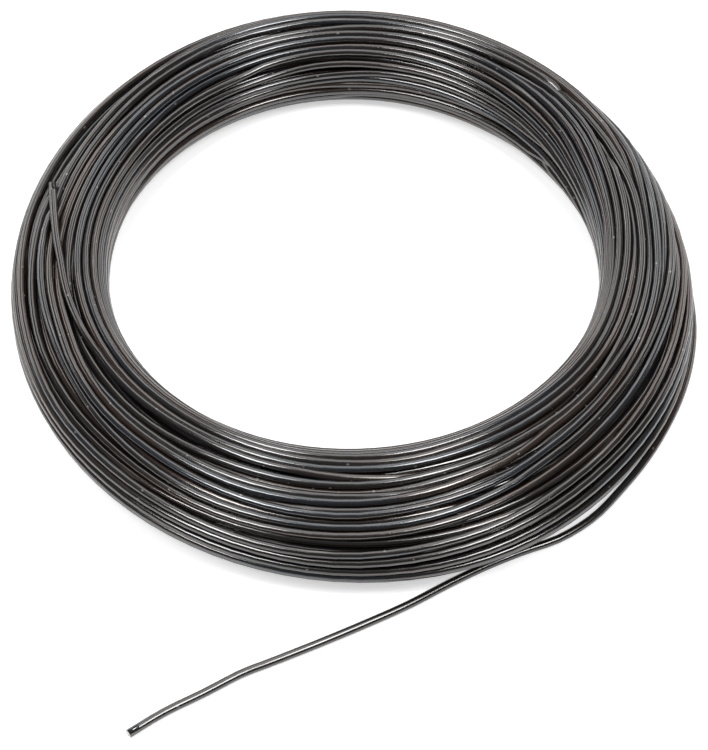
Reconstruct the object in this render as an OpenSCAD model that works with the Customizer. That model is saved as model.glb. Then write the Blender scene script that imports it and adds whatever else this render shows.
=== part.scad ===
// Coil of black annealed binding wire, lying flat.
// Origin on the coil's axis at the level it lies on, +Z up.

/* [Wire] */
// Diameter of the wire
wire_d = 1.6; // [1.2:0.1:2]

/* [Coil] */
// Diameter through the middle of the bundle
middle_d = 117; // [95:1:150]
// Width of the bundle, from the open middle to the outside
bundle_w = 21; // [14:0.5:26]
// Height of the coil as it lies
coil_h = 16; // [10:0.5:20]
// How square the bundle's section is, 2 is an oval
section_power = 2.5; // [2:0.1:4]
// How deep the grooves between turns go, as a share of the wire's radius
groove_depth = 0.7; // [0.4:0.05:0.85]

/* [Outer free end] */
// Where the outermost turn leaves the coil's side, in degrees round from +X
leave_at = 357; // [330:1:360]
// Radius of the loose stretch, which springs wider than the coil
spring_r = 80; // [78:1:100]
// Turn of the loose stretch, in degrees
spring_turn = 48; // [40:1:60]
// Radius of the kink where the wire turns away
kink_r = 16; // [8:1:30]
// Turn of the kink, in degrees
kink = 29; // [15:1:35]
// Radius of the slow bend after the kink
sweep_r = 65; // [40:1:120]
// Turn of the slow bend, in degrees
sweep = 20; // [8:1:25]
// Length of the straight stretch to the tip
tail_straight = 58; // [30:1:100]

/* [Inner free end] */
// Where the top turn springs straight, in degrees round from +X
spring_at = 190; // [180:1:200]
// How far out on the top it lies there, as a share of the bundle's half width
spring_out = -0.2; // [-0.3:0.05:0.1]
// Length of its straight stretch to the tip
end_straight = 28; // [15:1:35]
// Turn of the stretch that still follows the coil, in degrees
end_turn = 26; // [10:1:40]

/* [Hidden] */
wire_r = wire_d / 2;
middle_r = middle_d / 2;
// Half the width and height of the line through the boundary turns' centres
half_w = bundle_w / 2 - wire_r;
half_h = coil_h / 2 - wire_r;

function signed_pow(v, p) = sign(v) * pow(abs(v), p);
function outline(t) = [
    half_w * signed_pow(cos(t), 2 / section_power),
    half_h * signed_pow(sin(t), 2 / section_power)];
// Radius of the outermost turn at a height above the floor
function side_r(z) = middle_r + half_w *
    pow(1 - pow(abs(z - coil_h / 2) / half_h, section_power), 1 / section_power);

// The boundary turns lie evenly side by side along the outline
steps = 360;
step_pts = [for (i = [0 : steps]) outline(i * 360 / steps - 90)];
step_len = [for (i = [0 : steps - 1]) norm(step_pts[i + 1] - step_pts[i])];
run = [for (i = 0, s = 0; i <= steps; s = s + (i < steps ? step_len[i] : 0), i = i + 1)
    [s, i * 360 / steps - 90]];
outline_len = run[steps][0];
turns_round = floor(outline_len / (wire_d * 1.02));
turn_at = [for (i = [0 : turns_round - 1]) outline(lookup(i * outline_len / turns_round, run))];
// The body behind them reaches a little past their centres, so that each groove has a floor
fill = (1 - groove_depth) * wire_r;
body_at = [for (p = turn_at) [p[0] * (1 + fill / half_w), p[1] * (1 + fill / half_h)]];

module section() {
    polygon(body_at);
    for (p = turn_at) translate(p) circle(r = wire_r, $fn = 48);
}

// The wound coil: one turned ring whose turns show on its ends, its outside and its eye
module wound_ring() {
    translate([0, 0, coil_h / 2])
        rotate_extrude($fn = 128)
            translate([middle_r, 0]) section();
}

// Stretches of wire follow one another from the origin towards +Y.
// Each stops a hair short inside the round bead that joins it to the next.
joint_gap = 0.05;
module joint() {
    sphere(r = wire_r * 1.03, $fn = 32);
}
module straight(len) {
    translate([0, joint_gap, 0]) rotate([-90, 0, 0])
        cylinder(r = wire_r, h = len - joint_gap, $fn = 24);
}
// A bend to the left, rolled about the wire, then whatever follows it
module bend(r, turn, roll = 0) {
    step_in = joint_gap / r * 180 / PI;
    rotate([0, roll, 0]) translate([-r, 0, 0]) {
        rotate([0, 0, step_in])
            rotate_extrude(angle = turn - 2 * step_in, $fn = 128)
                translate([r, 0]) circle(r = wire_r, $fn = 24);
        if ($children > 0) rotate([0, 0, turn]) translate([r, 0, 0]) rotate([0, -roll, 0]) {
            joint();
            children();
        }
    }
}

// The outermost turn leaves the side at leave_z, and its wider arc comes down to the floor
leave_z = coil_h * 0.3;
leave_r = side_r(leave_z);
lift_r = 60;
drop = leave_z - wire_r;
reach_down = spring_r * sin(spring_turn);
climb = atan(lift_r / reach_down) + asin((drop - lift_r) / norm([reach_down, lift_r]));
land_at = leave_at - spring_turn;
land = (leave_r - spring_r) * [cos(leave_at), sin(leave_at)] + spring_r * [cos(land_at), sin(land_at)];
lift_share = asin(lift_r * sin(climb) / spring_r);
// Its hidden end turns in steeply, so that it ends well inside the ring
run_in_r = leave_r / 2;
run_in_depth = bundle_w / 5;
run_in_turn = 2 * acos(1 - run_in_depth / leave_r);

module outer_end() {
    translate([land[0], land[1], wire_r]) rotate([0, 0, land_at]) {
        joint();
        // back up to the coil's side, and in among the turns
        bend(lift_r, climb, 90)
            bend(spring_r, spring_turn - lift_share)
                bend(run_in_r, run_in_turn);
        // out along the floor to the tip
        rotate([0, 0, 180])
            bend(kink_r, kink, 180)
                bend(sweep_r, sweep)
                    straight(tail_straight);
    }
}

// A top turn follows the coil and then springs off it in a straight line
end_r = middle_r + half_w * spring_out;
module inner_end() {
    rotate([0, 0, spring_at]) translate([end_r, 0, coil_h]) {
        bend(end_r, end_turn);
        joint();
        rotate([0, 0, 180]) straight(end_straight);
    }
}

module binding_wire() {
    color([0.2, 0.19, 0.19]) union() {
        wound_ring();
        outer_end();
        inner_end();
    }
}

binding_wire();
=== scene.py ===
import math

import bpy
import numpy as np
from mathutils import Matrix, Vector


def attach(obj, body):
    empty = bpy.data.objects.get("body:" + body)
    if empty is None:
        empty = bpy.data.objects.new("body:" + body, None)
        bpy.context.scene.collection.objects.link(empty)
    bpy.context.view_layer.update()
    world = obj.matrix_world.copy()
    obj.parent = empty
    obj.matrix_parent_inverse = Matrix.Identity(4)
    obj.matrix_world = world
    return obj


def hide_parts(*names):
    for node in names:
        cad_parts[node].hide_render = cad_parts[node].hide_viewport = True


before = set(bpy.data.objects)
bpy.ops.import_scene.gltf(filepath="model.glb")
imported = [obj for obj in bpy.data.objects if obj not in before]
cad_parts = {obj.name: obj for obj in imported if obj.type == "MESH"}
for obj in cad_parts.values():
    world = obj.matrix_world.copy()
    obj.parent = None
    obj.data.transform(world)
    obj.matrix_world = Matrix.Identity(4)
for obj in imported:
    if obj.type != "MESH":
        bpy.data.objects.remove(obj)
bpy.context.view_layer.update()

# Camera
# The picture is 708 by 750, and its middle looks at AIM from AWAY, ELEVATION above the floor.
PICTURE_H = 750
SENSOR = 36
ELEVATION = math.radians(52)
AWAY = 0.480
AIM = Vector((0.0005, -0.0206, 0.0))
PIXELS_PER_M = 5120.0


def set_camera():
    cam = bpy.data.objects.new("camera", bpy.data.cameras.new("camera"))
    bpy.context.collection.objects.link(cam)
    cam.location = AIM + AWAY * Vector((0, -math.cos(ELEVATION), math.sin(ELEVATION)))
    cam.rotation_euler = (math.pi / 2 - ELEVATION, 0, 0)
    cam.data.sensor_width = SENSOR
    cam.data.lens = PIXELS_PER_M * AWAY / PICTURE_H * SENSOR
    cam.data.clip_start, cam.data.clip_end = 0.01, 10
    bpy.context.scene.camera = cam


# The wire's course, in mm
WIRE = 1.6
STATIONS = 96             # places round the coil at which every turn is worked out
START_AZ = 350.0          # where each turn begins, going clockwise
# Radius of the bundle's middle and half its width, each as a mean and its waves round the coil
MIDDLE_R = (58.55, 0.21, -0.66, -1.02, -0.54, -0.01, -0.43)
HALF_W = (10.27, -0.02, -2.18, -1.15, -0.62, -0.33, -0.08)
HALF_H = 8.3              # half the height
PRESSED_AT, PRESSED_WIDE, PRESSED_BY = 312.0, 17.0, 1.3   # azimuth and width in degrees, depth in mm
POWER = 2.6               # how square the section is, 2 is an oval
SEED = 4
SHIFTS_AT = 0.905         # where in a round the turns shift in their layers, 0 at START_AZ and 1 a round on
LIES_FROM = 205.0         # where the top end comes down among the skin's turns
SINKS_FROM = 262.0        # where it starts to sink under them
HAIRPIN_R = 3.3           # bend radius of the hidden hairpin that joins the top end to the first turn
# For each inner layer, from the heart of the bundle outwards: its turns, how far inside the outline it lies,
# and how many places on in its layer each turn moves with every round
INNER_LAYERS = ((9, 6.0, 1), (17, 4.3, 3), (27, 2.6, 4))
SKIN_STEP = 5             # the same for the skin, the outermost layer
STARTS_AT = 35            # where in the section each layer's first turn lies, 0 outward and 90 up

# The skin's turns run in bands between valleys. For each valley, from the outer side over the top to the eye:
# how many turns lie between it and the next, and its course, as azimuth, direction in the section (0 outward,
# 90 up) and half its width in mm. A fourth number sinks the turns beside it under the skin, in mm.
BANDS = [
    (2, [(0, -12, 0)]),
    (2, [(0, 25, 0), (90, 25, 0), (150, 20, 0), (200, 20, 0), (215, 16, 0), (230, 12, 0.2),
         (250, 8, 0.4), (270, 6, 0.4), (290, 11, 0.4), (306, 18, 0.3), (322, 24, 0)]),
    (1, [(0, 47, 0), (28, 40, 0), (60, 40, 0), (94, 44, 0), (118, 51, 0.2), (130, 55, 0.5),
         (142, 59, 0.9), (150, 59, 1.0), (164, 54, 0.9), (176, 48, 0.6, 0.1), (190, 47, 0.4, 0.4),
         (202, 43, 0.5, 1.1), (214, 39, 1.1, 1.4), (224, 37, 1.0, 0.7), (234, 35, 0.7, 0.2),
         (242, 30, 0.6), (256, 26, 0.6), (270, 25, 0.6), (284, 31, 0.6), (292, 33, 0.7),
         (298, 38, 0.9, 0.3), (306, 43, 1.1, 0.6), (316, 47, 1.2, 0.7), (326, 50, 0.9, 0.5),
         (338, 54, 0.5, 0.2), (350, 52, 0.2)]),
    (2, [(0, 56, 0), (28, 48, 0), (60, 48, 0), (94, 52, 0), (118, 61, 0), (142, 69, 0), (150, 69, 0),
         (164, 66, 0), (176, 62, 0.1), (190, 59, 0.5), (202, 56, 1.0), (214, 52, 1.1), (224, 46, 0.9),
         (234, 44, 0.5), (242, 39, 0.4), (250, 36, 0.4), (264, 32, 0.4), (278, 36, 0.4), (290, 43, 0.4),
         (298, 50, 0.6), (306, 55, 0.7), (316, 60, 0.8), (326, 64, 0.6), (336, 68, 0.3), (350, 62, 0)]),
    (2, [(0, 68, 0.2), (28, 58, 0), (60, 57, 0), (94, 61, 0), (128, 74, 0), (150, 78, 0), (180, 72, 0),
         (198, 69, 0.2), (220, 62, 0.3), (234, 56, 0.4), (244, 51, 0.4), (264, 46, 0.4), (276, 48, 0.4),
         (290, 54, 0.4), (306, 63, 0.4), (316, 67, 0.4), (326, 70, 0.3), (340, 72, 0.2)]),
    (1, [(0, 78, 0), (28, 66, 0), (60, 65, 0), (94, 70, 0.2), (128, 82, 0), (150, 86, 0), (180, 84, 0),
         (205, 80, 0), (230, 73, 0.2), (244, 69, 0.4), (258, 64, 0.5), (270, 63, 0.5), (284, 72, 0.5),
         (298, 79, 0.5), (306, 85, 0.4), (324, 93, 0.2), (336, 92, 0), (350, 84, 0)]),
    (1, [(0, 86, 0.4), (28, 73, 0.3), (60, 71, 0), (94, 78, 0.6), (108, 79, 0.6), (128, 88, 0.5),
         (140, 93, 0.5), (156, 96, 0.2), (180, 94, 0), (204, 88, 0.2), (216, 86, 0.3), (236, 84, 0.3),
         (252, 77, 0.3), (270, 76, 0.2), (284, 87, 0.2), (298, 95, 0.2), (314, 102, 0), (336, 98, 0),
         (350, 92, 0.2)]),
    (1, [(0, 97, 0), (28, 88, 0), (60, 88, 0.2), (94, 92, 0.4), (108, 92, 0.4), (128, 98, 0.2),
         (152, 103, 0), (180, 104, 0, 0.2), (196, 102, 0.2, 0.6), (206, 98, 0.6, 1.1),
         (216, 98, 0.8, 1.3), (236, 101, 0.8, 1.0), (252, 97, 0.7, 0.8), (264, 95, 0.6, 0.6),
         (276, 100, 0.6, 0.6), (290, 109, 0.6, 0.9), (304, 116, 0.6, 1.0), (314, 115, 0.6, 0.8),
         (324, 110, 0.5, 0.4), (336, 103, 0.2), (350, 102, 0)]),
    (2, [(0, 107, 0), (28, 99, 0), (60, 99, 0), (94, 103, 0.2), (128, 108, 0), (152, 113, 0),
         (180, 112, 0), (196, 107, 0.4), (206, 101, 0.7), (216, 102, 0.8), (226, 106, 0.8),
         (236, 112, 0.6), (252, 109, 0.4), (264, 108, 0.4), (276, 112, 0.5), (290, 124, 0.6),
         (304, 124, 0.6), (314, 120, 0.5), (324, 115, 0.5), (336, 111, 0.2), (350, 112, 0)]),
    (1, [(0, 123, 0), (45, 119, 0.2), (70, 123, 0.4), (94, 124, 0.5), (118, 124, 0.6), (150, 127, 0.4),
         (170, 127, 0.2), (210, 124, 0), (236, 130, 0), (264, 126, 0.2), (290, 140, 0.2), (304, 138, 0),
         (324, 131, 0), (348, 126, 0)]),
    (1, [(0, 134, 0), (60, 135, 0), (80, 137, 0.4), (108, 136, 0.5), (128, 135, 0.4), (145, 138, 0),
         (180, 138, 0), (210, 136, 0), (236, 141, 0), (264, 138, 0), (290, 150, 0), (304, 148, 0),
         (324, 142, 0)]),
    (2, [(0, 150, 0), (60, 152, 0), (80, 154, 0.3), (120, 152, 0.4), (150, 150, 0), (210, 150, 0),
         (264, 152, 0), (290, 162, 0), (330, 155, 0)]),
    (15, [(0, 172, 0), (60, 174, 0), (80, 176, 0.4), (120, 172, 0.3), (150, 168, 0), (264, 172, 0),
         (290, 178, 0)])]
# Bands that keep their place as a group, and the turns in each group, counted as above, that lie deeper where
# the bundle is too narrow for all of them side by side. The top end lies at the start of the last group.
GROUPS = (((0, 2), (1,)), ((2, 8), (6, 8, 10)), ((8, 13), (14, 18, 23, 28)))
FIRST_WAY, LAST_WAY = -12.0, 341.0     # directions in the section between which the turns lie
TOP_SLOT = (184, 197, 266, 290)        # azimuths where the top end's place in the skin opens and closes
TOP_FROM = 170                         # the top end has no place before this azimuth
LANDING = 9                            # degrees that it takes to come down among the turns
SUNK_AT = START_AZ - 8                 # where it has sunk to the heart
JOINED_UNTIL = 40                      # the loose stretch is the last turn's own end below this azimuth
PATH_STEP = 2.5                        # between the points of the listed stretches
WANDERS = (0.37, 0.71, 1.23, 1.9, 2.8) # how often a turn wanders to and fro in a round

# The turns settle against each other in ROUNDS rounds. In the last SETTLING of them no place pulls at them.
# The shares say how far a turn moves in one round.
ROUNDS, SETTLING = 300, 100
SMOOTHING, LAST_SMOOTHING = 0.4, 0.05
PULL = 0.05
TOP_SMOOTHING, TOP_PULL = 0.3, 0.03
PUSH_APART, PRESS_DOWN = 0.9, 0.5
OUT_OF_VALLEY, LAST_OUT_OF_VALLEY = 0.5, 0.1
CLEAR = 1.015                          # the distance kept between turns at the stations, in wire diameters
FAR = 1000.0                           # where a stretch lies that isn't there at a station
TURNS = sum(layer[0] for layer in INNER_LAYERS) + sum(count for count, course in BANDS)

# The loose outer stretch and the straight end on the floor: x, y, z
LOOSE_ROUTE = [
    (63.4, 14.7, 5.8), (65.3, 6.9, 5.7), (66.6, -3.0, 5.3), (66.9, -12.0, 4.7),
    (65.7, -20.4, 4.1), (63.4, -28.0, 3.5), (60.0, -35.4, 3.0), (55.7, -42.6, 2.4), (50.6, -49.2, 1.8),
    (45.2, -55.1, 1.2), (38.7, -59.6, 0.85), (31.7, -62.5, 0.8), (24.9, -65.7, 0.8),
    (18.1, -69.5, 0.8), (10.2, -74.3, 0.8), (1.7, -78.7, 0.8), (-6.3, -82.6, 0.8), (-14.3, -86.3, 0.8),
    (-19.6, -88.7, 0.8), (-26.0, -92.6, 0.8), (-33.0, -96.6, 0.8), (-39.0, -100.9, 0.8)]
# The end that springs off the top at the left: x, y, z. From there it lies in the skin until it sinks.
TOP_ROUTE = [
    (-59.5, 14.8, 16.4), (-58.7, 7.8, 16.45), (-57.7, 0.9, 16.4), (-56.3, -5.8, 16.2), (-55.3, -10.6, 16.0),
    (-53.9, -15.2, 15.8), (-52.1, -19.7, 15.65), (-49.9, -24.1, 15.5), (-47.6, -27.6, 15.45)]

az = np.radians(START_AZ - np.arange(STATIONS) * 360.0 / STATIONS)


def around(c, t):
    """A size that changes round the coil, from its mean and its cosine and sine waves."""
    out = np.full_like(t, c[0])
    for k in range(1, (len(c) - 1) // 2 + 1):
        out = out + c[2 * k - 1] * np.cos(k * t) + c[2 * k] * np.sin(k * t)
    return out


def pressed_in(t):
    """The bundle's outer side lies a little further in beside the loose stretch."""
    away = (np.degrees(t) - PRESSED_AT + 180) % 360 - 180
    return PRESSED_BY / 2 * np.exp(-(away / PRESSED_WIDE) ** 2)


def middle_r(t):
    """Radius of the bundle's middle, in mm."""
    return around(MIDDLE_R, t) - pressed_in(t)


def half_width(t):
    """Half the bundle's width, in mm."""
    return around(HALF_W, t) - pressed_in(t)


def resample(points, step):
    """A smooth line through the points, at an even step."""
    p = np.array(points, float)
    p = np.vstack([2 * p[0] - p[1], p, 2 * p[-1] - p[-2]])
    out = []
    for i in range(1, len(p) - 2):
        t = np.linspace(0, 1, 24, endpoint=False)[:, None]
        a, b, c, d = p[i - 1:i + 3]
        square, cube = 2 * a - 5 * b + 4 * c - d, 3 * b - a - 3 * c + d
        out.append(0.5 * (2 * b + (c - a) * t + square * t ** 2 + cube * t ** 3))
    out = np.vstack(out + [p[-2][None]])
    s = np.append(0, np.cumsum(np.linalg.norm(np.diff(out, axis=0), axis=1)))
    n = max(2, int(round(s[-1] / step)) + 1)
    q = np.linspace(0, s[-1], n)
    return np.stack([np.interp(q, s, out[:, k]) for k in range(3)], 1)


def at_stations(line):
    """Radius and height of a laid line at each station that it passes, and where it passes one."""
    a = np.unwrap(np.arctan2(line[:, 1], line[:, 0]))
    r = np.hypot(line[:, 0], line[:, 1])
    out, here = np.zeros((STATIONS, 2)), np.zeros(STATIONS, bool)
    o = np.argsort(a)
    for j, t in enumerate(az):
        for turn in (-1, 0, 1):
            w = t + 2 * math.pi * turn
            if a.min() <= w <= a.max():
                out[j] = np.interp(w, a[o], r[o]), np.interp(w, a[o], line[o, 2])
                here[j] = True
    return out, here


def outline(inset):
    """The section's outline at every station, drawn in by inset: direction, distance along it, points."""
    way = np.arange(-40, 361, 1.0)
    t = np.radians(way)[None]
    a, b = (half_width(az) - inset)[:, None], HALF_H - inset
    reach = (np.abs(np.cos(t) / a) ** POWER + np.abs(np.sin(t) / b) ** POWER) ** (-1 / POWER)
    points = np.stack([middle_r(az)[:, None] + reach * np.cos(t), HALF_H + reach * np.sin(t)], -1)
    steps = np.linalg.norm(np.diff(points, axis=1), axis=2)
    along = np.append(np.zeros((STATIONS, 1)), np.cumsum(steps, 1), 1)
    return way, along, points


def valley(course, deg):
    """A valley's direction, half width and sinking at the azimuths."""
    at, way, half_gap, sink = np.array([(*point, 0)[:4] for point in course], float).T
    return [np.interp(deg, at, values, period=360) for values in (way, half_gap, sink)]


def side_by_side(target, need, lo, hi):
    """The places nearest to the targets that are in order and at least need apart."""
    start = np.append(0, np.cumsum(need))
    if start[-1] > hi - lo:
        start *= (hi - lo) / start[-1]
    groups = []
    for value in target - start:
        groups.append([value, 1])
        while len(groups) > 1 and groups[-2][0] > groups[-1][0]:
            value, size = groups.pop()
            last, number = groups.pop()
            groups.append([(last * number + value * size) / (number + size), number + size])
    level = np.concatenate([np.full(size, value) for value, size in groups])
    return np.clip(level, lo, hi - start[-1]) + start


def skin_dips(deg):
    """How much deeper than its neighbours each turn of the skin lies as it goes round, in mm."""
    rng = np.random.default_rng(SEED + 1)
    total = sum(count for count, course in BANDS)
    dips = np.zeros((STATIONS, total))
    for k in (1, 2, 3):
        phase = rng.uniform(0, 2 * math.pi, total)
        dips += np.cos(k * np.radians(deg)[:, None] + phase) * rng.uniform(0.2, 0.6, total)
    return 0.5 * np.clip(dips + 0.1, 0, 1.2)


def skin_places(deg):
    """Where each of the skin's turns runs at every station, and where the top end lies among them."""
    way, along, points = outline(WIRE / 2)
    lines = [valley(course, deg) for count, course in BANDS] + [np.array([[LAST_WAY], [0], [0]]) + 0 * deg]
    middle = np.stack([middle_r(az), np.full(STATIONS, HALF_H)], -1)
    first = np.cumsum([0] + [count for count, course in BANDS])
    total = first[-1]
    present = np.interp(deg, TOP_SLOT, (0, 1, 1, 0))
    places, depths = np.zeros((STATIONS, total + 1)), np.zeros((STATIONS, total))
    dips = skin_dips(deg)
    for j in range(STATIONS):
        at = [np.interp(line[0][j], way, along[j]) for line in lines]
        half = [line[1][j] for line in lines]
        for (start, stop), deeper in GROUPS:
            sink, gap, target = [], [], []
            shift = WIRE * present[j] if stop == len(BANDS) else 0
            for k in range(start, stop):
                lo, hi = at[k] + half[k] + shift * (k == start), at[k + 1] - half[k + 1]
                count = BANDS[k][0]
                gap += [2 * half[k]] + [0] * (count - 1)
                sink += [lines[k][2][j]] * count
                target += [lo + (i + 0.5) / count * (hi - lo) for i in range(count)]
            lo, hi = at[start] + half[start] + shift + WIRE / 2, at[stop] - half[stop] - WIRE / 2
            gap = np.array(gap[1:])
            sink = np.array(sink) + dips[j, first[start]:first[stop]]
            short = (WIRE * (len(target) - 1) + gap.sum() - (hi - lo)) / (2 * len(deeper))
            closer = WIRE - np.clip(short, 0, WIRE / 2)
            sink[np.array(deeper) - first[start]] += math.sqrt(WIRE ** 2 - closer ** 2)
            need = np.sqrt(np.maximum(WIRE ** 2 - np.diff(sink) ** 2, WIRE ** 2 / 4)) + gap
            places[j, first[start]:first[stop]] = side_by_side(np.array(target), need, lo, hi)
            depths[j, first[start]:first[stop]] = sink
            places[j, total] = lo - shift
    for _ in range(3):
        places = 0.5 * places + 0.25 * (np.roll(places, 1, 0) + np.roll(places, -1, 0))
        depths = 0.5 * depths + 0.25 * (np.roll(depths, 1, 0) + np.roll(depths, -1, 0))
    out = np.zeros((total + 1, STATIONS, 2))
    for j in range(STATIONS):
        for m in (0, 1):
            out[:, j, m] = np.interp(places[j], along[j], points[j, :, m])
    inward = middle[None] - out[:total]
    out[:total] += inward * (depths.T / np.linalg.norm(inward, axis=2))[..., None]
    return out[:total], out[total]


def layer_places(count, inset):
    """Evenly spread places along the outline drawn in by inset."""
    way, along, points = outline(inset)
    out = []
    for i in range(count):
        share = (i + 0.5) / count
        row = []
        for j in range(STATIONS):
            lo, hi = np.interp((FIRST_WAY, LAST_WAY), way, along[j])
            row.append([np.interp(lo + share * (hi - lo), along[j], points[j, :, m]) for m in (0, 1)])
        out.append(row)
    return np.array(out)


def wound_layer(places, step, start, rng):
    """The layer's turns in their order. With every round, each shifts step places on, near one azimuth."""
    count = len(places)
    t = np.linspace(0, 1, STATIONS, endpoint=False)
    out = []
    for i in range(count):
        centre, wide = SHIFTS_AT + rng.normal(0, 0.010), rng.uniform(0.022, 0.028)
        first, ramp, last = [1 / (1 + np.exp(-(x - centre) / wide)) for x in (0, t, 1)]
        place = start + step * (i + (ramp - first) / (last - first))
        if i == count - 1:
            place = np.full(STATIONS, float(start + step * i))
        low = np.floor(place).astype(int)
        share = (place - low)[:, None]
        here = np.arange(STATIONS)
        out.append(places[low % count, here] * (1 - share) + places[(low + 1) % count, here] * share)
    return np.array(out)


def wound_places(rng, deg):
    """Every turn's place at each station, from the heart outwards."""
    skin, top = skin_places(deg)
    start_share = (STARTS_AT - FIRST_WAY) / (LAST_WAY - FIRST_WAY)
    plan = [(layer_places(count, inset), step, round(start_share * count - 0.5))
            for count, inset, step in INNER_LAYERS] + [(skin, SKIN_STEP, SKIN_STEP - 1)]
    layers = [wound_layer(places, step, start, rng) for places, step, start in plan]
    # the last turn of each layer passes to the place where the next layer's first turn begins
    t = np.linspace(0, 1, STATIONS, endpoint=False)
    over = (1 / (1 + np.exp(-(t - SHIFTS_AT) / 0.03)))[:, None]
    for inner, (places, step, start) in zip(layers, plan[1:]):
        inner[-1] = inner[-1] * (1 - over) + places[start] * over
    depth = [np.full(len(p), 1 - k / 3) for k, p in enumerate(layers)]
    return np.concatenate(layers), np.concatenate(depth), top


def lay_turns():
    """Lays every turn, and the top end, where they come to rest against each other."""
    rng = np.random.default_rng(SEED)
    deg = np.degrees(az) % 360
    want, depth, skin_top = wound_places(rng, deg)

    # Each turn wanders a little all along its length
    n = TURNS * STATIONS
    s = np.arange(n)[:, None] / STATIONS
    wander = np.zeros((n, 2))
    for f in WANDERS:
        drift = np.cumsum(rng.normal(0, 0.07, (n, 2)), axis=0)
        wander += np.sin(2 * np.pi * f * s + rng.uniform(0, 2 * np.pi, 2) + drift) * 0.5 / (0.6 + f)
    want += (0.3 + 0.7 * depth[:, None, None]) * wander.reshape(TURNS, STATIONS, 2)
    middle, half_w, half_h = middle_r(az), half_width(az) - WIRE / 2, HALF_H - WIRE / 2

    # The valleys are kept open as if by thick rods laid in the skin
    rods, rod_r = np.zeros((len(BANDS), STATIONS, 2)), np.zeros((len(BANDS), STATIONS))
    for i, (count, course) in enumerate(BANDS):
        way, half_gap, sink = valley(course, deg)
        w, wide_w = np.radians(way), half_w + WIRE / 2
        rod_r[i] = 1.15 * half_gap
        reach = (np.abs(np.cos(w) / wide_w) ** POWER + np.abs(np.sin(w) / HALF_H) ** POWER) ** (-1 / POWER)
        reach = reach - 0.6 * rod_r[i]
        rods[i] = np.stack([middle + reach * np.cos(w), HALF_H + reach * np.sin(w)], -1)

    # The loose stretch is laid along listed points, and so is the start of the top end. From there the top
    # end follows the skin, then sinks to the hairpin in the heart of the bundle, where the first turn begins.
    loose, loose_here = at_stations(resample(LOOSE_ROUTE, 1.0))
    along_top = sorted(zip(deg, skin_top.tolist()))
    lying = [(r * math.cos(math.radians(d)), r * math.sin(math.radians(d)), z)
             for d, (r, z) in along_top if LIES_FROM + LANDING < d < SINKS_FROM][::2]
    lead = resample(TOP_ROUTE + lying, 1.0)
    top, top_here = at_stations(lead)
    end = (deg > TOP_FROM) & (deg < START_AZ + 1) & ~top_here
    skin = top[np.flatnonzero(top_here)[0]]
    fall = np.clip((deg - SINKS_FROM) / (SUNK_AT - SINKS_FROM), 0, 1)
    fall = fall * fall * (3 - 2 * fall)
    sideways = (skin[0] - middle_r(np.radians([SINKS_FROM]))[0]) * (1 - fall) - HAIRPIN_R * fall
    want_top = np.stack([middle + sideways, skin[1] * (1 - fall) + HALF_H * fall], -1)
    top[end] = want_top[end]
    joined = loose_here & ((deg > START_AZ) | (deg < JOINED_UNTIL))
    turns = want.copy()
    lone = np.stack([np.where((loose_here & ~joined)[:, None], loose, FAR),
                     np.where((top_here | end)[:, None], top, -FAR)])
    held = ~end
    held[0] = True
    hairpin = np.array([(side * HAIRPIN_R, 0.0) for side in (-1, 0, 1)])[:, None] + \
        np.stack([middle, np.full(STATIONS, HALF_H)], -1)
    rods = np.concatenate([rods, hairpin])
    hairpin_here = np.where(np.abs((deg - START_AZ - 2 + 180) % 360 - 180) < 3, 0.9, 0)
    hairpin_here = np.stack([np.where(np.arange(STATIONS) == 0, 0, hairpin_here), hairpin_here,
                             np.where(np.arange(STATIONS) == 0, 0, hairpin_here)])
    rod_r = np.concatenate([rod_r, hairpin_here])
    same = np.eye(TURNS + 2, dtype=bool)[None]
    # the top end lies over the turns as far as LIES_FROM, and presses them down
    over_turns = top_here & (deg < LIES_FROM)
    reach = WIRE * CLEAR
    for k in range(ROUNDS):
        closing = k >= ROUNDS - SETTLING
        flat = turns.reshape(-1, 2)
        mid = flat.copy()
        mid[1:-1] = 0.5 * (flat[:-2] + flat[2:])
        turns = (flat + (LAST_SMOOTHING if closing else SMOOTHING) * (mid - flat)).reshape(turns.shape)
        if not closing:
            turns += (want - turns) * PULL
        beside = lone.copy()
        beside[1, over_turns] = -FAR
        x = np.concatenate([turns, beside]).transpose(1, 0, 2)
        d = x[:, :, None] - x[:, None]
        dist = np.sqrt((d ** 2).sum(-1)) + 1e-9
        over = np.clip(reach - dist, 0, None)
        over[np.broadcast_to(same, over.shape)] = 0
        x = x + PUSH_APART * (d / dist[..., None] * over[..., None] * 0.5).sum(2)
        x = x.transpose(1, 0, 2)
        turns = x[:TURNS].copy()
        moved = x[-1]
        moved[1:-1] += TOP_SMOOTHING * (0.5 * (moved[:-2] + moved[2:]) - moved[1:-1])
        moved = moved + (0 if closing else TOP_PULL) * (want_top - moved)
        lone[1] = np.where(held[:, None], lone[1], moved)
        off = turns[:, over_turns, 0] - top[over_turns, 0]
        roof = top[over_turns, 1] - np.sqrt(np.clip(reach ** 2 - off ** 2, 0, None))
        too_high = np.where(np.abs(off) < reach, np.clip(turns[:, over_turns, 1] - roof, 0, None), 0)
        turns[:, over_turns, 1] -= PRESS_DOWN * too_high
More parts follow.
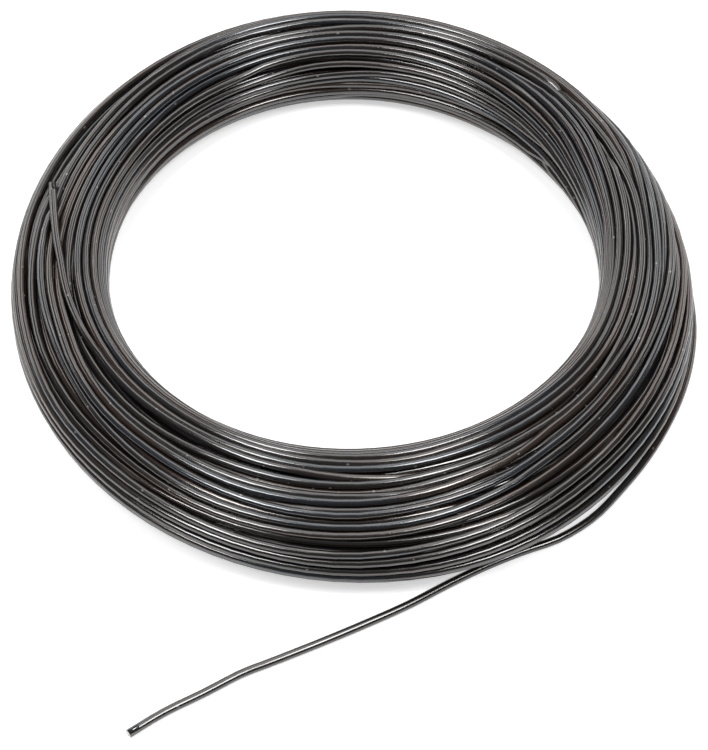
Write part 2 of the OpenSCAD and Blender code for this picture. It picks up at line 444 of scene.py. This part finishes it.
        # out of the valleys
        d = turns[:, None] - rods[None]
        dist = np.sqrt((d ** 2).sum(-1)) + 1e-9
        over = np.where(rod_r[None] > 0.02, np.clip(rod_r[None] + WIRE / 2 - dist, 0, None), 0)
        share = LAST_OUT_OF_VALLEY if closing else OUT_OF_VALLEY
        turns = turns + share * (d / dist[..., None] * over[..., None]).sum(1)
        u, v = (turns[..., 0] - middle) / half_w, (turns[..., 1] - HALF_H) / half_h
        q = (np.abs(u) ** POWER + np.abs(v) ** POWER) ** (1 / POWER)
        pull = np.where(q > 1, 1 / np.maximum(q, 1e-9), 1.0)
        turns[..., 0], turns[..., 1] = middle + half_w * u * pull, HALF_H + half_h * v * pull
        turns[0, 0] = middle[0] + HAIRPIN_R, HALF_H
        turns[-1, joined] = loose[joined]
    return turns, lone[1], end, joined, lead


def round_points(rz, a):
    """Points from their radius, height and azimuth."""
    return np.stack([rz[:, 0] * np.cos(a), rz[:, 0] * np.sin(a), rz[:, 1]], 1)


def wire_path():
    """The whole wire in metres: top end, a hidden hairpin, every turn, the loose outer end."""
    turns, top, end, joined, lead = lay_turns()
    body = round_points(turns.reshape(-1, 2), np.tile(az, TURNS))[:-int(joined.sum())]
    inside = np.flatnonzero(end)[::-1]
    sunk = round_points(top[inside], az[inside])
    lead = np.vstack([resample(lead[::3], PATH_STEP)[:-1], sunk])
    ahead = np.array([-math.sin(az[0]), math.cos(az[0]), 0])
    across = body[0] - lead[-1]
    middle = 0.5 * (body[0] + lead[-1])
    t = np.linspace(0, math.pi, 9)[1:-1, None]
    hairpin = middle - 0.5 * across * np.cos(t) + 0.5 * np.linalg.norm(across) * ahead * np.sin(t)
    return np.vstack([lead, hairpin, body, resample(LOOSE_ROUTE, PATH_STEP)]) * 0.001


# The wire as a mesh tube
SIDES = 9
CUT_FACE = (-1.0, 0.0)    # the cut faces read one place in the finish


def tube(name, path, radius, sides):
    """A round wire along the path, closed at both ends, and its length."""
    n = len(path)
    tangent = np.gradient(path, axis=0)
    tangent /= np.linalg.norm(tangent, axis=1)[:, None]
    side = np.empty_like(path)
    v = np.cross(tangent[0], (0, 0, 1.0))
    for i in range(n):
        v = v - tangent[i] * (v @ tangent[i])
        v = v / math.sqrt(v @ v)
        side[i] = v
    up = np.cross(tangent, side)
    angle = np.arange(sides) * 2 * math.pi / sides
    ring = np.cos(angle)[None, :, None] * side[:, None] + np.sin(angle)[None, :, None] * up[:, None]
    verts = (path[:, None] + radius * ring).reshape(-1, 3)
    i, j = np.meshgrid(np.arange(n - 1), np.arange(sides), indexing="ij")
    k = (j + 1) % sides
    quads = [i * sides + j, i * sides + k, (i + 1) * sides + k, (i + 1) * sides + j]
    quads = np.stack(quads, -1).reshape(-1, 4)
    faces = [tuple(q) for q in quads.tolist()]
    faces.append(tuple(range(sides))[::-1])
    faces.append(tuple((n - 1) * sides + m for m in range(sides)))
    mesh = bpy.data.meshes.new(name)
    mesh.from_pydata(verts.tolist(), [], faces)
    length = np.append(0, np.cumsum(np.linalg.norm(np.diff(path, axis=0), axis=1)))
    uv = mesh.uv_layers.new(name="along")
    u = np.stack([length[i], length[i], length[i + 1], length[i + 1]], -1).reshape(-1)
    w = np.stack([j, j + 1, j + 1, j], -1).reshape(-1) / sides
    coords = np.zeros((len(mesh.loops), 2))
    coords[:len(u), 0], coords[:len(u), 1] = u, w
    coords[len(u):] = CUT_FACE
    uv.data.foreach_set("uv", coords.reshape(-1))
    mesh.polygons.foreach_set("use_smooth", [True] * len(quads) + [False, False])
    mesh.update()
    obj = bpy.data.objects.new(name, mesh)
    bpy.context.collection.objects.link(obj)
    return obj, float(length[-1])


# Materials
DARK_SCALE = (0.013, 0.0095, 0.0078, 1)
BROWN_SCALE = (0.036, 0.021, 0.0145, 1)
BLUE_SCALE = (0.014, 0.018, 0.0235, 1)
RUBBED_STEEL = (0.2, 0.19, 0.18, 1)
CUT_BRIGHT, CUT_DULL = (0.75, 0.74, 0.72, 1), (0.4, 0.39, 0.38, 1)
WIRE_ROUGHNESS = 0.16


class Nodes:
    """Adds and links shader nodes in one tree."""

    def __init__(self, tree):
        self.tree = tree

    def add(self, kind, **values):
        node = self.tree.nodes.new(kind)
        for name, value in values.items():
            setattr(node, name, value)
        return node

    def link(self, a, b):
        self.tree.links.new(a, b)

    def feed(self, value, socket):
        if isinstance(value, bpy.types.NodeSocket):
            self.link(value, socket)
        else:
            socket.default_value = value

    def math(self, operation, a, b=None):
        node = self.add("ShaderNodeMath", operation=operation)
        self.feed(a, node.inputs[0])
        if b is not None:
            self.feed(b, node.inputs[1])
        return node.outputs[0]

    def ramp(self, value, low, high):
        """0 up to low and 1 from high, or the other way round where low is the greater."""
        node = self.add("ShaderNodeMapRange", interpolation_type="SMOOTHSTEP")
        self.feed(value, node.inputs["Value"])
        node.inputs["From Min"].default_value = min(low, high)
        node.inputs["From Max"].default_value = max(low, high)
        node.inputs["To Min"].default_value = 0.0 if low < high else 1.0
        node.inputs["To Max"].default_value = 1.0 if low < high else 0.0
        return node.outputs["Result"]

    def mix(self, share, a, b):
        node = self.add("ShaderNodeMix", data_type="RGBA")
        self.feed(share, node.inputs[0])
        self.feed(a, node.inputs[6])
        self.feed(b, node.inputs[7])
        return node.outputs[2]


def drawn_finish():
    """Colour, roughness and height of drawn and annealed wire, from the piece's own length and round."""
    group = bpy.data.node_groups.new("drawn wire finish", "ShaderNodeTree")
    for name, kind, value in (("Dark", "NodeSocketColor", DARK_SCALE),
                              ("Brown", "NodeSocketColor", BROWN_SCALE),
                              ("Blue", "NodeSocketColor", BLUE_SCALE),
                              ("Rubbed", "NodeSocketColor", RUBBED_STEEL),
                              ("Roughness", "NodeSocketFloat", WIRE_ROUGHNESS)):
        socket = group.interface.new_socket(name, in_out="INPUT", socket_type=kind)
        socket.default_value = value
    for name, kind in (("Color", "NodeSocketColor"), ("Roughness", "NodeSocketFloat"),
                       ("Height", "NodeSocketFloat")):
        group.interface.new_socket(name, in_out="OUTPUT", socket_type=kind)
    n = Nodes(group)
    given, out = n.add("NodeGroupInput"), n.add("NodeGroupOutput")
    uv = n.add("ShaderNodeUVMap", uv_map="along")
    split = n.add("ShaderNodeSeparateXYZ")
    n.link(uv.outputs[0], split.inputs[0])
    turn = n.math("MULTIPLY", split.outputs[1], 2 * math.pi)
    cos, sin = n.math("COSINE", turn), n.math("SINE", turn)

    def along_and_round(per_m, per_round):
        place = n.add("ShaderNodeCombineXYZ")
        n.link(n.math("MULTIPLY", split.outputs[0], per_m), place.inputs[0])
        n.link(n.math("MULTIPLY", cos, per_round), place.inputs[1])
        n.link(n.math("MULTIPLY", sin, per_round), place.inputs[2])
        return place.outputs[0]

    def noise(per_m, per_round, detail=2.0):
        node = n.add("ShaderNodeTexNoise")
        n.link(along_and_round(per_m, per_round), node.inputs["Vector"])
        node.inputs["Scale"].default_value = 1.0
        node.inputs["Detail"].default_value = detail
        return node.outputs["Fac"]

    # heat tints change slowly along the wire
    brown = n.ramp(noise(14, 0.25, 1.0), 0.48, 0.66)
    blue = n.ramp(noise(19, 0.4, 1.0), 0.54, 0.68)
    colour = n.mix(brown, given.outputs["Dark"], given.outputs["Brown"])
    colour = n.mix(blue, colour, given.outputs["Blue"])
    # die lines run lengthwise, and break up into short dull and bright stretches
    lines = noise(45, 3.2, 3.0)
    mottle = noise(420, 0.9, 2.0)
    scale_off = n.ramp(noise(90, 1.6, 4.0), 0.60, 0.74)
    colour = n.mix(n.math("MULTIPLY", scale_off, 0.45), colour, given.outputs["Rubbed"])
    specks = n.add("ShaderNodeTexVoronoi", feature="F1")
    n.link(along_and_round(260, 0.32), specks.inputs["Vector"])
    specks.inputs["Scale"].default_value = 1.0
    dot = n.ramp(specks.outputs["Distance"], 0.10, 0.05)
    colour = n.mix(dot, colour, given.outputs["Rubbed"])
    n.link(colour, out.inputs["Color"])
    line_rough = n.math("MULTIPLY", n.math("SUBTRACT", lines, 0.5), 0.12)
    rough = n.math("ADD", given.outputs["Roughness"], line_rough)
    mottle_rough = n.math("MULTIPLY", n.math("SUBTRACT", mottle, 0.5), 0.10)
    rough = n.math("ADD", rough, mottle_rough)
    n.link(rough, out.inputs["Roughness"])
    height = n.math("ADD", lines, n.math("MULTIPLY", mottle, 0.6))
    n.link(height, out.inputs["Height"])
    return group


def annealed_wire(finish):
    mat = bpy.data.materials.new("black annealed wire")
    mat.use_nodes = True
    n = Nodes(mat.node_tree)
    shader = mat.node_tree.nodes["Principled BSDF"]
    shader.inputs["Metallic"].default_value = 0.35
    shader.inputs["IOR"].default_value = 2.2
    skin = n.add("ShaderNodeGroup", node_tree=finish)
    skin.inputs["Roughness"].default_value = WIRE_ROUGHNESS
    n.link(skin.outputs["Color"], shader.inputs["Base Color"])
    n.link(skin.outputs["Roughness"], shader.inputs["Roughness"])
    bump = n.add("ShaderNodeBump")
    bump.inputs["Strength"].default_value = 0.15
    bump.inputs["Distance"].default_value = 0.00006
    n.link(skin.outputs["Height"], bump.inputs["Height"])
    n.link(bump.outputs[0], shader.inputs["Normal"])
    return mat


def cut_steel():
    """Bare steel where the wire was cut, with bright and dull grain."""
    mat = bpy.data.materials.new("cut wire face")
    mat.use_nodes = True
    n = Nodes(mat.node_tree)
    shader = mat.node_tree.nodes["Principled BSDF"]
    shader.inputs["Metallic"].default_value = 0.85
    shader.inputs["Roughness"].default_value = 0.5
    place = n.add("ShaderNodeTexCoord")
    grain = n.add("ShaderNodeTexNoise")
    grain.inputs["Scale"].default_value = 2600
    n.link(place.outputs["Object"], grain.inputs["Vector"])
    colour = n.mix(n.ramp(grain.outputs["Fac"], 0.35, 0.65), CUT_BRIGHT, CUT_DULL)
    n.link(colour, shader.inputs["Base Color"])
    return mat


# Floor, world and lamps
FLOOR_SIZE, FLOOR_COLOUR, FLOOR_GLOW = 6, (0.8, 0.8, 0.8, 1), 0.55
WORLD_SHADE = 0.12        # the world's strength for all but camera rays
WHITE = (1, 1, 1, 1)
# name, place, width and height in m, watts
LAMPS = (
    ("left soft box", (-0.389, -0.30, 0.871), (0.26, 0.42), 4.5),
    ("right soft box", (0.352, -0.30, 0.887), (0.26, 0.42), 4.5),
    ("high back light", (0.0, 0.6, 1.2), (0.8, 1.6), 7.0),
    ("left wall light", (-1.1, 0.95, 0.55), (1.6, 0.6), 8.4),
    ("right wall light", (1.1, 0.95, 0.55), (1.6, 0.6), 7.4))


def make_floor():
    bpy.ops.mesh.primitive_plane_add(size=FLOOR_SIZE, location=(0, 0, 0))
    floor = bpy.context.object
    floor.name = "floor"
    mat = bpy.data.materials.new("white floor")
    mat.use_nodes = True
    tree = mat.node_tree
    tree.nodes.clear()
    n = Nodes(tree)
    out = n.add("ShaderNodeOutputMaterial")
    plain = n.add("ShaderNodeBsdfDiffuse")
    plain.inputs["Color"].default_value = FLOOR_COLOUR
    glow = n.add("ShaderNodeEmission")
    glow.inputs["Color"].default_value = WHITE
    glow.inputs["Strength"].default_value = FLOOR_GLOW
    both = n.add("ShaderNodeAddShader")
    seen = n.add("ShaderNodeMixShader")
    path = n.add("ShaderNodeLightPath")
    either = n.add("ShaderNodeMath", operation="MAXIMUM")
    n.link(path.outputs["Is Camera Ray"], either.inputs[0])
    n.link(path.outputs["Is Glossy Ray"], either.inputs[1])
    n.link(plain.outputs[0], both.inputs[0])
    n.link(glow.outputs[0], both.inputs[1])
    n.link(either.outputs[0], seen.inputs[0])
    n.link(plain.outputs[0], seen.inputs[1])
    n.link(both.outputs[0], seen.inputs[2])
    n.link(seen.outputs[0], out.inputs["Surface"])
    floor.data.materials.append(mat)


def make_world():
    world = bpy.data.worlds.new("studio")
    bpy.context.scene.world = world
    world.use_nodes = True
    tree = world.node_tree
    tree.nodes.clear()
    n = Nodes(tree)
    out = n.add("ShaderNodeOutputWorld")
    back = n.add("ShaderNodeBackground")
    back.inputs["Color"].default_value = WHITE
    path = n.add("ShaderNodeLightPath")
    level = n.add("ShaderNodeMapRange")
    level.inputs["To Min"].default_value = WORLD_SHADE
    level.inputs["To Max"].default_value = 1.0
    n.link(path.outputs["Is Camera Ray"], level.inputs["Value"])
    n.link(level.outputs["Result"], back.inputs["Strength"])
    n.link(back.outputs[0], out.inputs["Surface"])


def soft_box(name, where, size, watts):
    lamp = bpy.data.lights.new(name, "AREA")
    lamp.shape, lamp.size, lamp.size_y, lamp.energy = "RECTANGLE", size[0], size[1], watts
    obj = bpy.data.objects.new(name, lamp)
    bpy.context.collection.objects.link(obj)
    obj.location = where
    obj.rotation_euler = (-Vector(where)).to_track_quat("-Z", "Y").to_euler()


def make_lights():
    for name, where, size, watts in LAMPS:
        soft_box(name, where, size, watts)


# Build
set_camera()
bpy.context.scene.view_settings.view_transform = "Standard"
path = wire_path()
wire, wire_length = tube("coil_of_wire", path, WIRE / 2000, SIDES)
wire.data.materials.append(annealed_wire(drawn_finish()))
wire.data.materials.append(cut_steel())
for face in wire.data.polygons[-2:]:
    face.material_index = 1
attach(wire, "root")
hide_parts("binding_wire")
make_floor()
make_world()
make_lights()
